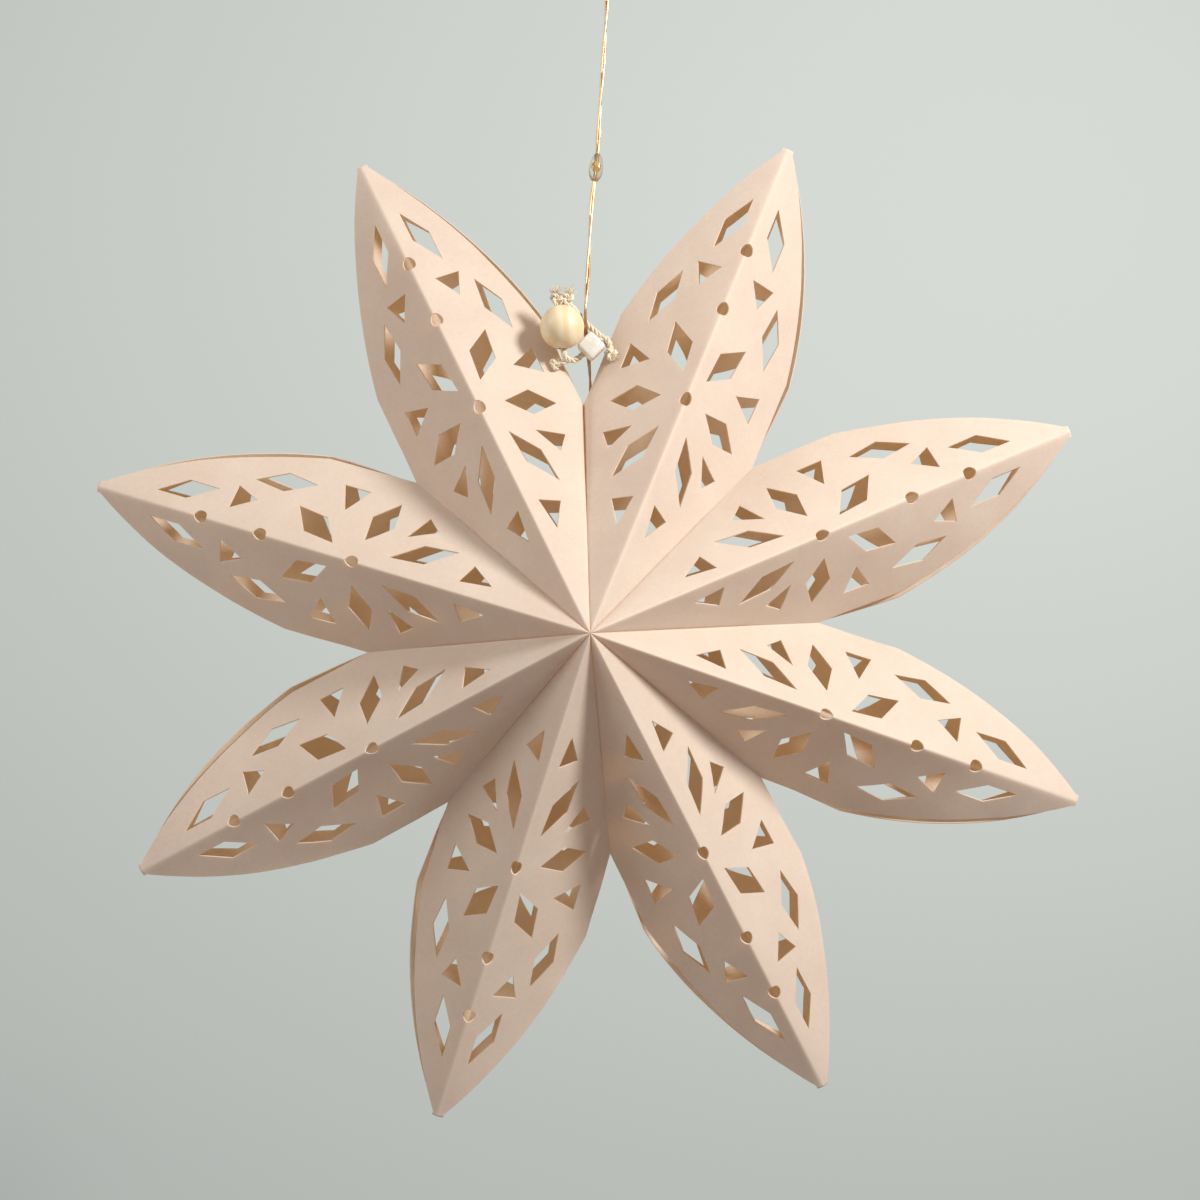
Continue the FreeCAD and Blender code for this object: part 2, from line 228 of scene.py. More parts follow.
half_loops = [diamond(*d) for d in DIAMONDS] + [dart(*d) for d in DARTS]
print("cut-outs on one side of a ridge", len(half_loops), "and on the ridge", len(RIDGE_HOLES))


# %% [markdown]
# The outline starts at the peak, follows the glued valley to the notch, runs to the shoulder and then down a
# bowed edge to the tip. At the opening the valley edge is drawn in, so that a slit stays between the two arms.

# %% Outline
SLIT_START = 22.0
SLIT_REACH = 52.0
SLIT_HALF_WIDTH = 0.6
EDGE_STEPS = 14


def notch_place():
    """Where the straight outer edge crosses the valley line."""
    fall = (SHOULDER[1] - INNER_EDGE[1]) / (SHOULDER[0] - INNER_EDGE[0])
    u = (INNER_EDGE[1] - fall * INNER_EDGE[0]) / (math.tan(VALLEY_ANGLE) - fall)
    return u, u * math.tan(VALLEY_ANGLE)


def bowed_edge():
    """Points of the arc from the shoulder to the tip, through a crown that stands off its chord."""
    start, end = Vector(SHOULDER), Vector((RIDGE, TIP_HALF_WIDTH))
    chord = end - start
    off = Vector((-chord.y, chord.x)).normalized()
    radius = (chord.length ** 2 / 4 + EDGE_BULGE ** 2) / (2 * EDGE_BULGE)
    middle = (start + end) / 2 + off * (EDGE_BULGE - radius)
    sweep = 2 * math.asin(chord.length / 2 / radius)
    points = []
    for i in range(EDGE_STEPS + 1):
        t = (0.5 - i / EDGE_STEPS) * sweep
        along = chord.normalized()
        points.append(middle + off * (radius * math.cos(t)) - along * (radius * math.sin(t)))
    return [(p.x, p.y) for p in points]


def half_outline(opens):
    u, v = notch_place()
    drawn_in = SLIT_HALF_WIDTH * (u - SLIT_START) / (SLIT_REACH - SLIT_START) if opens else 0.0
    slit = SLIT_START * 1.04
    line = [(slit, slit * math.tan(VALLEY_ANGLE)), (u, v - drawn_in * 1.1)] if opens else [(u, v)]
    return line + bowed_edge()


print("notch at", [round(x, 1) for x in notch_place()], "edge points", len(bowed_edge()))


# %% [markdown]
# `flat_arm` fills the outline round its holes, and then scores the sheet along a fine grid: close lines beside the
# ridge and the valleys, where the card bends, and wider ones between them. Scoring only adds points to the flat
# sheet, so that it can take a curve.

# %% Flat sheet
RIDGE_LINES = [0.0, 0.18, 0.4, 0.75, 1.3, 2.2, 4.0, 6.5, 9.0, 11.5, 14.0, 16.5, 19.0, 21.5, 24.0]
VALLEY_LINES = [0.08, 0.2, 0.35, 0.6, 1.0, 1.5, 2.1, 2.8]
LINE_STEP = 3.0
WRAP = TIP_HALF_GAP * math.pi / 2


def score(mesh, point, normal):
    parts = mesh.verts[:] + mesh.edges[:] + mesh.faces[:]
    bmesh.ops.bisect_plane(mesh, geom=parts, dist=1e-5, plane_co=point, plane_no=normal)


def flat_arm(arm):
    """The front half of one arm, laid flat and scored."""
    right, left = half_outline(arm == 1), half_outline(arm == 0)
    wrap = [(RIDGE + WRAP, TIP_HALF_WIDTH), (RIDGE + WRAP, -TIP_HALF_WIDTH)]
    loops = [[(0.0, 0.0)] + right + wrap + mirrored(left)]
    loops += half_loops + [mirrored(loop) for loop in half_loops]
    loops += [circle((u, 0.0), RIDGE_HOLE_RADIUS) for u in RIDGE_HOLES]
    if arm in TIE_HOLES:
        loops.append(circle(TIE_HOLES[arm], TIE_HOLE_RADIUS, 16))
    mesh = bmesh.new()
    edges = []
    for loop in loops:
        corners = [mesh.verts.new((u, v, 0.0)) for u, v in loop]
        edges += [mesh.edges.new(pair) for pair in zip(corners, corners[1:] + corners[:1])]
    bmesh.ops.triangle_fill(mesh, use_beauty=True, use_dissolve=False, edges=edges)
    steps = int(RIDGE / LINE_STEP)
    for i in range(1, steps + 1):
        score(mesh, (i * RIDGE / steps, 0, 0), (1, 0, 0))
    for i in range(1, 4):
        score(mesh, (RIDGE + i * WRAP / 4, 0, 0), (1, 0, 0))
    for v in RIDGE_LINES:
        for side in (1, -1):
            score(mesh, (0, side * v, 0), (0, 1, 0))
    for side in (1, -1):
        normal = Vector((math.sin(VALLEY_ANGLE), -side * math.cos(VALLEY_ANGLE), 0))
        for d in VALLEY_LINES:
            score(mesh, normal * d, normal)
    return mesh


trial = flat_arm(2)
print("a scored sheet has", len(trial.verts), "points and", len(trial.faces), "faces")
trial.free()


# %% [markdown]
# ## Folding
# A point of the flat sheet goes to its place on the folded arm. Near the hub both halves of an arm are plane and
# fall away steeply from the ridge; towards the tip the fall eases, so that the front and back edges meet. The
# ridge is a soft crease, the sheet turns inwards at a glued valley and curls in beside the slit, and the back
# half is glued a little off, so that a thin band of it shows beyond the front's edge.

# %% Folding
def half_gap(arm, side):
    other = (arm - side) % ARMS
    return math.radians(abs((ARM_ANGLES[arm] - ARM_ANGLES[other] + 180.0) % 360.0 - 180.0) / 2.0)


def hub_tilt(gap):
    """How steeply half an arm falls away from its ridge, so that its valley lies midway to the next arm."""
    t = math.tan(gap)
    lean = math.atan(t * math.sin(SLOPE))
    size = math.hypot(1.0, t * math.sin(SLOPE))
    return lean + math.acos(t * math.cos(SLOPE) / math.tan(VALLEY_ANGLE) / size)


def tilt_at(along, hub):
    share = max(0.0, min(1.0, (along - STRAIGHT_REACH) / (RIDGE - STRAIGHT_REACH)))
    return hub - (hub - TIP_TILT) * share ** TILT_POWER


def arm_axes(arm):
    a = math.radians(ARM_ANGLES[arm])
    radial = Vector((math.cos(a), 0, math.sin(a)))
    across = Vector((-math.sin(a), 0, math.cos(a)))
    back = Vector((0, 1, 0))
    ridge = radial * math.cos(SLOPE) + back * math.sin(SLOPE)
    inward = back * math.cos(SLOPE) - radial * math.sin(SLOPE)
    return radial, ridge, across, inward


def eased(depth, softness):
    return math.hypot(depth, softness) - softness


def swell(arm, side, u, v):
    """Paper never lies quite flat: a slow wave that dies out at the ridge and at the valley."""
    room = min(1.0, v / 8.0) * min(1.0, max(0.0, u * math.sin(VALLEY_ANGLE) - v * math.cos(VALLEY_ANGLE)) / 6.0
                                   + max(0.0, u - 56.0) / 14.0)
    slow = noise.noise(Vector((u * 0.035, v * 0.05, 7.3 * arm + 3.1 * side)))
    quick = noise.noise(Vector((u * 0.12, v * 0.14, 5.7 * arm - 2.3 * side)))
    return room * (SLOW_SWELL * slow + QUICK_SWELL * quick)


def opens(arm, side):
    """The two edges that meet at the opening are not glued."""
    return (arm, side) in ((0, -1), (1, 1))


def lip(arm, side, u):
    """How softly the sheet turns in at its rim: sharply at a glued valley, in a wide curl beside the slit."""
    notch = notch_place()[0]
    if not opens(arm, side):
        return VALLEY_SOFTNESS if u < notch + 1.0 else 0.0
    if u > notch:
        return SLIT_LIP * max(0.0, 1.0 - (u - notch) / LIP_FADE)
    share = max(0.0, (u - SLIT_START) / (notch - SLIT_START))
    return VALLEY_SOFTNESS + (SLIT_LIP - VALLEY_SOFTNESS) * share


def rim_distance(arm, side, u, out):
    """How far a point lies from its valley line or, past the notch, from the straight outer edge."""
    notch_u, notch_v = notch_place()
    if u > notch_u:
        fall = (SHOULDER[1] - notch_v) / (SHOULDER[0] - notch_u)
        edge = (notch_v + fall * (u - notch_u) - out) * math.cos(VALLEY_ANGLE)
    else:
        edge = u * math.sin(VALLEY_ANGLE) - out * math.cos(VALLEY_ANGLE)
    if opens(arm, side):
        edge -= SLIT_HALF_WIDTH * max(0.0, min(u, notch_u) - SLIT_START) / (SLIT_REACH - SLIT_START)
    return max(0.0, edge)


def folded(arm, face, u, v):
    """Where a flat point goes: face +1 is the front half of the arm, -1 the back half."""
    radial, ridge, across, inward = arm_axes(arm)
    side = 1 if v >= 0 else -1
    out = abs(v)
    hub = hub_tilt(half_gap(arm, side))
    tilt = tilt_at(u, hub)
    reach = out / math.cos(hub - tilt)
    along = min(u, RIDGE)
    depth = eased(reach * math.sin(tilt), FOLD_SOFTNESS)
    place = Vector((0, -PEAK_HEIGHT, 0)) + ridge * along
    place += across * (side * reach * math.cos(tilt)) + inward * depth
    lift = swell(arm, side * face, u, out)
    place += (across * (side * math.sin(tilt)) - inward * math.cos(tilt)) * lift
    soft = lip(arm, side, u)
    miss = soft - rim_distance(arm, side, u, out)
    if miss > 0.0:
        place += inward * (soft - math.sqrt(max(0.0, soft ** 2 - miss ** 2))) * CURL_DEPTH
    if face < 0:
        share = max(0.0, min(1.0, (u - DRIFT_START) / (RIDGE - DRIFT_START)))
        place -= across * (BACK_DRIFT * math.sin(math.pi * share) * min(1.0, out / 6.0))
    if u > RIDGE:
        turn = (u - RIDGE) / TIP_HALF_GAP
        place += radial * (TIP_HALF_GAP * math.sin(turn))
        place.y = place.y * math.cos(turn)
    place.y = min(place.y, -0.02)
    if face < 0:
        place.y = -place.y
    return place * MM


print("hub tilts", [round(math.degrees(hub_tilt(half_gap(i, 1))), 1) for i in range(ARMS)])


# %% [markdown]
# Each half sheet becomes an object of its own thickness. The cut rims get the paler edge material, a painted
# highlight, and `crease`, the mask of the paler fold line that is partly wear and partly a painted highlight, is
# strongest along the ridge.

# %% Arms
def finished(name, mesh):
    """Turns a folded bmesh into an object with the card's thickness behind its face."""
    data = bpy.data.meshes.new(name)
    mesh.to_mesh(data)
    mesh.free()
    data.materials.append(card_face)
    data.materials.append(card_rim_highlight)
    piece = bpy.data.objects.new(name, data)
    bpy.context.scene.collection.objects.link(piece)
    shell = piece.modifiers.new("card thickness", "SOLIDIFY")
    shell.thickness = CARD * MM
    shell.offset = -1.0
    # The rims take the second, paler material: a painted highlight on the cut edges.
    shell.material_offset_rim = 1
    bpy.context.view_layer.update()
    solid = bpy.data.meshes.new_from_object(piece.evaluated_get(bpy.context.evaluated_depsgraph_get()))
    piece.modifiers.clear()
    piece.data = solid
    solid.shade_smooth()
    solid.set_sharp_from_angle(angle=math.radians(38.0))
    return piece


# Mask of the paler fold lines, partly wear and partly a painted highlight, on the ridge and the glued valleys.
def crease_at(u, v):
    ridge = math.exp(-(v / 0.45) ** 2)
    edge = u * math.sin(VALLEY_ANGLE) - abs(v) * math.cos(VALLEY_ANGLE)
    valley = math.exp(-(edge / 0.4) ** 2) if u < notch_place()[0] else 0.0
    return 0.75 * max(ridge, valley)


def arm_half(arm, face):
    mesh = flat_arm(arm)
    layer = mesh.verts.layers.float.new("crease")
    for vert in mesh.verts:
        u, v = vert.co.x, vert.co.y
        vert[layer] = crease_at(u, v)
        vert.co = folded(arm, face, u, v)
    sample = min(mesh.faces, key=lambda f: (f.calc_center_median() - Vector((0, -face, 0))).length)
    bmesh.ops.recalc_face_normals(mesh, faces=mesh.faces)
    if sample.normal.y * face > 0:
        bmesh.ops.reverse_faces(mesh, faces=mesh.faces)
    return finished("arm_%d_%s" % (arm + 1, "front" if face > 0 else "back"), mesh)


arm_pieces = []
for arm in range(ARMS):
    front, back = arm_half(arm, 1), arm_half(arm, -1)
    arm_pieces.append((front, back))
print("arm halves", 2 * len(arm_pieces), "faces in one", len(arm_pieces[0][0].data.polygons))


# %% [markdown]
# Behind every valley stand two glue flaps, one from each neighbour. They show through the holes and as two
# curled bands at the slit.

# %% Glue flaps
FLAP_START = 14.0
FLAP_END = 57.0
FLAP_WIDTH = 5.5
FLAP_TAPER = 5.0
FLAP_STEPS = 12
FLAP_ROWS = 4


def valley_fall(arm, side):
    hub = hub_tilt(half_gap(arm, side))
    return math.asin(math.cos(VALLEY_ANGLE) * math.sin(SLOPE)
                     + math.sin(VALLEY_ANGLE) * math.sin(hub) * math.cos(SLOPE))


def flap_point(arm, side, face, along, inward):
    """A point of the flap: along the valley and inwards from it, on this arm's side of the glue line."""
    fall = valley_fall(arm, side)
    turn = math.radians(ARM_ANGLES[arm]) + side * half_gap(arm, side)
    radial = Vector((math.cos(turn), 0, math.sin(turn)))
    aside = Vector((-math.sin(turn), 0, math.cos(turn))) * side
    radius = along * math.cos(fall) - inward * math.sin(fall)
    gap = 0.01
    if opens(arm, side):
        gap += SLIT_HALF_WIDTH * max(0.0, radius - SLIT_START) / (SLIT_REACH - SLIT_START)
    depth = -PEAK_HEIGHT + along * math.sin(fall) + inward * math.cos(fall)
    place = radial * radius - aside * gap
    place.y = min(depth, -0.02) * face
    return place * MM


def flap(arm, side, face):
    mesh = bmesh.new()
    start = SLIT_START / math.cos(valley_fall(arm, side)) + CARD if opens(arm, side) else FLAP_START
    rows = []
    for i in range(FLAP_STEPS + 1):
        share = i / FLAP_STEPS
        row = []
        for k in range(FLAP_ROWS + 1):
            deep = k / FLAP_ROWS
            low, high = start + FLAP_TAPER * deep, FLAP_END - FLAP_TAPER * deep
            along = low + (high - low) * share
            first = 0.2 + CURL_DEPTH * (lip(arm, side, along * math.cos(VALLEY_ANGLE)) - VALLEY_SOFTNESS)
            row.append(mesh.verts.new(flap_point(arm, side, face, along, first + (FLAP_WIDTH - first) * deep)))
        rows.append(row)
    for near, beyond in zip(rows, rows[1:]):
        for k in range(FLAP_ROWS):
            mesh.faces.new((near[k], near[k + 1], beyond[k + 1], beyond[k]))
    mesh.faces.ensure_lookup_table()
    turn = math.radians(ARM_ANGLES[arm]) + side * half_gap(arm, side)
    aside = Vector((-math.sin(turn), 0, math.cos(turn))) * side
    mesh.normal_update()
    if mesh.faces[0].normal.dot(aside) < 0:
        bmesh.ops.reverse_faces(mesh, faces=mesh.faces)
    name = "flap_%d_%s_%s" % (arm + 1, "left" if side > 0 else "right", "front" if face > 0 else "back")
    return finished(name, mesh)


for arm in range(ARMS):
    pieces = list(arm_pieces[arm]) + [flap(arm, side, face) for side in (1, -1) for face in (1, -1)]
    for piece in pieces:
        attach(piece, "root")
        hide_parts("arm_%d" % (arm + 1))
print("card pieces per arm", len(pieces))

# %% [markdown]
# ## The closing cord and its beads
# The cotton cord is three plied strands, laid round a smooth line. Its line repeats the route of the cord's
# solid: from the knots over the round bead, down through it, slantwise through the square bead and into the
# second arm's edge, and back behind the beads.

# %% Cord materials
def cotton_material():
    material, tree = new_material("twisted_cotton")
    place = node(tree, "ShaderNodeTexCoord").outputs["Object"]
    fibre = node(tree, "ShaderNodeTexNoise", {"Scale": per_mm(0.35), "Detail": 5.0, "Roughness": 0.7},
                 {"Vector": place})
    patch = node(tree, "ShaderNodeTexNoise", {"Scale": per_mm(2.5), "Detail": 2.0}, {"Vector": place})
    tone = ramp(tree, fibre.outputs[0], (0.3, colour("#dcc8a6")), (0.65, colour("#f6ead2")))
    cloudy = ramp(tree, patch.outputs[0], (0.35, (0.88, 0.86, 0.84, 1)), (0.7, (1, 1, 1, 1)))
    mixed = node(tree, "ShaderNodeMix", {"Factor": 0.8}, {6: tone.outputs[0], 7: cloudy.outputs[0]},
                 data_type="RGBA", blend_type="MULTIPLY")
    bump = node(tree, "ShaderNodeBump", {"Strength": 0.5, "Distance": 0.00008}, {"Height": fibre.outputs[0]})
    shader = node(tree, "ShaderNodeBsdfPrincipled", {"Roughness": 0.85, "Sheen Weight": 0.35,
                                                     "Specular IOR Level": 0.2},
                  {"Base Color": mixed.outputs[2], "Normal": bump.outputs[0]})
    output(tree, shader.outputs[0])
    return material


def wood_material():
    material, tree = new_material("pale_turned_wood")
    place = node(tree, "ShaderNodeTexCoord").outputs["Object"]
    laid = node(tree, "ShaderNodeMapping", {"Scale": (1.0, 1.0, 0.28), "Rotation": (0.35, 0.2, 0.0)},
                {"Vector": place})
    rings = node(tree, "ShaderNodeTexWave", {"Scale": per_mm(9.0), "Distortion": 3.2, "Detail": 3.0,
                                             "Detail Scale": 1.6}, {"Vector": laid.outputs[0]},
                 wave_type="BANDS", bands_direction="X")
    pore = node(tree, "ShaderNodeTexNoise", {"Scale": per_mm(0.5), "Detail": 4.0}, {"Vector": laid.outputs[0]})
    tone = ramp(tree, rings.outputs[0], (0.2, colour("#ead0a6")), (0.8, colour("#f1dcb8")))
    pores = ramp(tree, pore.outputs[0], (0.3, (0.95, 0.93, 0.9, 1)), (0.55, (1, 1, 1, 1)))
    mixed = node(tree, "ShaderNodeMix", {"Factor": 0.7}, {6: tone.outputs[0], 7: pores.outputs[0]},
                 data_type="RGBA", blend_type="MULTIPLY")
    bump = node(tree, "ShaderNodeBump", {"Strength": 0.12, "Distance": 0.00005}, {"Height": pore.outputs[0]})
    shader = node(tree, "ShaderNodeBsdfPrincipled", {"Roughness": 0.42, "Specular IOR Level": 0.4},
                  {"Base Color": mixed.outputs[2], "Normal": bump.outputs[0]})
    output(tree, shader.outputs[0])
    return material


def milky_material():
    material, tree = new_material("milky_square_bead")
    place = node(tree, "ShaderNodeTexCoord").outputs["Object"]
    cloud = node(tree, "ShaderNodeTexNoise", {"Scale": per_mm(1.6), "Detail": 3.0}, {"Vector": place})
    tone = ramp(tree, cloud.outputs[0], (0.35, colour("#f1e7d8")), (0.7, colour("#fbf6ee")))
    shader = node(tree, "ShaderNodeBsdfPrincipled",
                  {"Roughness": 0.34, "Subsurface Weight": 0.35, "Subsurface Scale": 0.0006,
                   "Specular IOR Level": 0.5},
                  {"Base Color": tone.outputs[0]})
    output(tree, shader.outputs[0])
    return material


def copper_material():
    material, tree = new_material("lacquered_copper_wire")
    place = node(tree, "ShaderNodeTexCoord").outputs["Object"]
    stain = node(tree, "ShaderNodeTexNoise", {"Scale": per_mm(3.0), "Detail": 3.0}, {"Vector": place})
    tone = ramp(tree, stain.outputs[0], (0.3, colour("#b98a60")), (0.7, colour("#dcb48a")))
    rough = node(tree, "ShaderNodeMapRange", {"To Min": 0.22, "To Max": 0.4}, {"Value": stain.outputs[0]})
    shader = node(tree, "ShaderNodeBsdfPrincipled", {"Metallic": 0.9, "Coat Weight": 0.4},
                  {"Base Color": tone.outputs[0], "Roughness": rough.outputs[0]})
    output(tree, shader.outputs[0])
    return material


def resin_material():
    material, tree = new_material("clear_resin_drop")
    place = node(tree, "ShaderNodeTexCoord").outputs["Object"]
    wave = node(tree, "ShaderNodeTexNoise", {"Scale": per_mm(2.0), "Detail": 1.0}, {"Vector": place})
    bump = node(tree, "ShaderNodeBump", {"Strength": 0.15, "Distance": 0.0001}, {"Height": wave.outputs[0]})
    shader = node(tree, "ShaderNodeBsdfPrincipled", {"Base Color": colour("#fbf3df"), "Roughness": 0.06,
                                                     "Transmission Weight": 0.92, "IOR": 1.47},
                  {"Normal": bump.outputs[0]})
    output(tree, shader.outputs[0])
    return material


def chip_material():
    material, tree = new_material("amber_light_chip")
    place = node(tree, "ShaderNodeTexCoord").outputs["Object"]
    grain = node(tree, "ShaderNodeTexNoise", {"Scale": per_mm(0.4), "Detail": 2.0}, {"Vector": place})
    tone = ramp(tree, grain.outputs[0], (0.3, colour("#d99a26")), (0.7, colour("#f0bb48")))
    output(tree, node(tree, "ShaderNodeBsdfPrincipled", {"Roughness": 0.4},
                      {"Base Color": tone.outputs[0]}).outputs[0])
    return material


cotton, wood, milky = cotton_material(), wood_material(), milky_material()
copper, resin, chip_paint = copper_material(), resin_material(), chip_material()
print("small materials", [m.name for m in (cotton, wood, milky, copper, resin, chip_paint)])


# %% [markdown]
# `line_of` draws a NURBS spline through a route's points and reads its smooth line back. `plied` lays strands
# round such a line, and `linked` joins rings of points into a closed skin.

# %% Lines and strands
def line_of(name, route, steps=12):
    data = bpy.data.curves.new(name, "CURVE")
    data.dimensions = "3D"
    data.resolution_u = steps
    spline = data.splines.new("NURBS")
    spline.points.add(len(route) - 1)
    for point, place in zip(spline.points, route):
        point.co = (*[c * MM for c in place], 1.0)
    spline.order_u = 3
    spline.use_endpoint_u = True
    holder = bpy.data.objects.new(name, data)
    bpy.context.scene.collection.objects.link(holder)
    bpy.context.view_layer.update()
    read = bpy.data.meshes.new_from_object(holder.evaluated_get(bpy.context.evaluated_depsgraph_get()))
    points = [v.co.copy() for v in read.vertices]
    bpy.data.meshes.remove(read)
    return holder, points


def even_points(points, step):
    """The same line, with its points one step apart."""
    lengths = [0.0]
    for a, b in zip(points, points[1:]):
        lengths.append(lengths[-1] + (b - a).length)
    count = max(2, int(lengths[-1] / step))
    placed, k = [], 0
    for i in range(count + 1):
        want = lengths[-1] * i / count
        while k < len(points) - 2 and lengths[k + 1] < want:
            k += 1
        share = (want - lengths[k]) / max(1e-9, lengths[k + 1] - lengths[k])
        placed.append(points[k].lerp(points[k + 1], share))
    return placed, lengths[-1]


def carried_frames(points):
    """A pair of directions across the line at each point, carried along so that they don't spin."""
    frames, across = [], None
    for i, p in enumerate(points):
        ahead = (points[min(i + 1, len(points) - 1)] - points[max(i - 1, 0)]).normalized()
        if across is None:
            across = ahead.orthogonal().normalized()
        across = (across - ahead * across.dot(ahead)).normalized()
        frames.append((ahead, across, ahead.cross(across)))
    return frames


def linked(mesh, rings, closed=False):
    sides = len(rings[0])
    pairs = list(zip(rings, rings[1:])) + ([(rings[-1], rings[0])] if closed else [])
    for near, beyond in pairs:
        for k in range(sides):
            mesh.faces.new((near[k], near[(k + 1) % sides], beyond[(k + 1) % sides], beyond[k]))
    if not closed:
        mesh.faces.new(list(reversed(rings[0])))
        mesh.faces.new(rings[-1])


def plied(mesh, points, strands, lay, strand_radius, pitch, start=0.0, sides=8, wander=0.0):
    """Strands wound round a line: lay is how far each stands off it, pitch the length of one turn."""
    frames = carried_frames(points)
    for s in range(strands):
        rings, run = [], 0.0
        for i, (p, (ahead, across, third)) in enumerate(zip(points, frames)):
            if i:
                run += (p - points[i - 1]).length
            turn = start + 2 * math.pi * (s / strands + run / pitch)
            loose = 1.0 + wander * noise.noise(Vector((run * 900.0, s * 5.1, 0.3)))
            middle = p + (across * math.cos(turn) + third * math.sin(turn)) * lay * loose
            ring = []
            for k in range(sides):
                t = 2 * math.pi * k / sides
                ring.append(mesh.verts.new(middle + (across * math.cos(t) + third * math.sin(t)) * strand_radius))
            rings.append(ring)
        linked(mesh, rings)


def placed_piece(name, mesh, material, angle=60.0):
    data = bpy.data.meshes.new(name)
    bmesh.ops.recalc_face_normals(mesh, faces=mesh.faces)
    mesh.to_mesh(data)
    mesh.free()
    data.materials.append(material)
    data.shade_smooth()
    data.set_sharp_from_angle(angle=math.radians(angle))
    piece = bpy.data.objects.new(name, data)
    bpy.context.scene.collection.objects.link(piece)
    return piece


print("line tools ready")

# %% [markdown]
# The places below repeat the solids' own: bead centres, the edge knots and the cord's routes.

# %% Closing cord
ROUND_BEAD = Vector((-6.2, -9.4, 62.9))
ROUND_BEAD_RADIUS = 4.6
SQUARE_BEAD = Vector((-0.2, -6.8, 59.3))
SQUARE_BEAD_SIDE = 4.4
SQUARE_BEAD_TURN = math.radians(45.0)
CORD_LAY = 0.32
CORD_STRAND = 0.34
CORD_PITCH = 3.4
TOP_KNOT = ROUND_BEAD + Vector((0, 0, ROUND_BEAD_RADIUS + 1.25))


def on_card(arm, u, v, forward):
    return folded(arm, 1, u, v) / MM - Vector((0, forward, 0))


EDGE_KNOT = on_card(1, 61.5, 21.2, 1.0) - Vector((0.6, 0, 0))
TIE_KNOT = on_card(0, 59.5, -21.2, 1.0) + Vector((0.5, 0, 0.3))
THREAD = Vector((math.cos(SQUARE_BEAD_TURN), 0, math.sin(SQUARE_BEAD_TURN)))
LOWER_BEND = Vector((-4.9, -7.8, 56.4))
lower_route = [TOP_KNOT, ROUND_BEAD - Vector((0, 0, ROUND_BEAD_RADIUS + 1.2)), LOWER_BEND,
               SQUARE_BEAD - THREAD * SQUARE_BEAD_SIDE, SQUARE_BEAD + THREAD * SQUARE_BEAD_SIDE * 0.75,
               Vector((3.9, -7.1, 60.2)), EDGE_KNOT]
upper_route = [TOP_KNOT, Vector((-4.0, -7.5, 67.5)), Vector((-2.0, -4.2, 65.2)), Vector((1.2, -4.7, 62.4)),
               Vector((3.6, -5.3, 60.3)), EDGE_KNOT]
tie_route = [LOWER_BEND, LOWER_BEND.lerp(TIE_KNOT, 0.5) + Vector((0, -0.2, -0.4)), TIE_KNOT]


def knot(mesh, centre, radius, seed):
    """A tight overhand knot: one plied strand that winds round itself."""
    points = []
    for i in range(61):
        t = 2 * math.pi * i / 60
        x, y = math.sin(t) + 2 * math.sin(2 * t), math.cos(t) - 2 * math.cos(2 * t)
        points.append(centre * MM + Vector((x, -math.sin(3 * t) * 1.2, y)) * (radius * MM / 3.6))
    plied(mesh, points, 3, 0.24 * MM, 0.27 * MM, 2.6 * MM, seed)


def tuft(mesh, root, aim, length, hairs, seed):
    """Loose cotton ends that fan out and curl."""
    for i in range(hairs):
        a = noise.noise(Vector((i * 1.7, seed, 0.1))) * 2.2
        b = noise.noise(Vector((i * 2.3, seed, 4.7))) * 2.2
        way = (aim + Vector((a, b * 0.8, 0.35 * b))).normalized()
        far = length * (0.65 + 0.5 * abs(noise.noise(Vector((i * 3.1, seed, 9.9)))))
        points = []
        for k in range(7):
            s = k / 6
            curl = Vector((math.sin(3.1 * s + i), math.cos(2.3 * s + 2 * i), math.sin(2.7 * s + 3 * i))) * 0.35 * s
            points.append((root + way * far * s + curl) * MM)
        plied(mesh, points, 1, 0.0, 0.045 * MM, 1.0, 0.0, sides=4)


cord_mesh = bmesh.new()
for number, route in enumerate((lower_route, upper_route, tie_route)):
    holder, points = line_of("cord_line_%d" % number, route)
    points, run = even_points(points, 0.3 * MM)
    plied(cord_mesh, points, 3, CORD_LAY * MM, CORD_STRAND * MM, CORD_PITCH * MM, number)
    bpy.data.objects.remove(holder)
    print("cord line", number, "length", round(run / MM, 1), "mm")
HAIRS = 46
for shift in (-1.1, 1.1):
    knot(cord_mesh, TOP_KNOT + Vector((shift, 0, 0)), 1.35, shift)
    tuft(cord_mesh, TOP_KNOT + Vector((shift, 0, 0.7)), Vector((shift * 0.35, -0.1, 1.0)), 2.6, HAIRS, shift * 7)
knot(cord_mesh, EDGE_KNOT, 1.3, 0.4)
tuft(cord_mesh, EDGE_KNOT, Vector((0.9, -0.3, -0.4)), 2.2, HAIRS // 2, 3.3)
knot(cord_mesh, TIE_KNOT, 1.1, 0.9)
tuft(cord_mesh, TIE_KNOT, Vector((-0.8, -0.4, 0.2)), 1.6, HAIRS // 3, 5.1)
cord_piece = placed_piece("closing_cord", cord_mesh, cotton)
print("closing cord faces", len(cord_piece.data.polygons))


# %% Beads
def round_bead():
    """A turned ball with a bore and softened rims."""
    bore = 0.9
    first = math.asin(bore / ROUND_BEAD_RADIUS)
    profile = [(bore, -3.9), (bore, 0.0), (bore, 3.9)]
    count = 28
    for i in range(count + 1):
        t = first + 0.05 + (math.pi - 2 * first - 0.1) * i / count
        profile.append((ROUND_BEAD_RADIUS * math.sin(t), ROUND_BEAD_RADIUS * math.cos(t)))
    mesh = bmesh.new()
    rings = []
    for k in range(56):
        turn = 2 * math.pi * k / 56
        ring = [mesh.verts.new((ROUND_BEAD + Vector((r * math.cos(turn), r * math.sin(turn), z))) * MM)
                for r, z in profile]
        rings.append(ring)
    linked(mesh, rings, closed=True)
    return placed_piece("turned_round_bead", mesh, wood, 35.0)


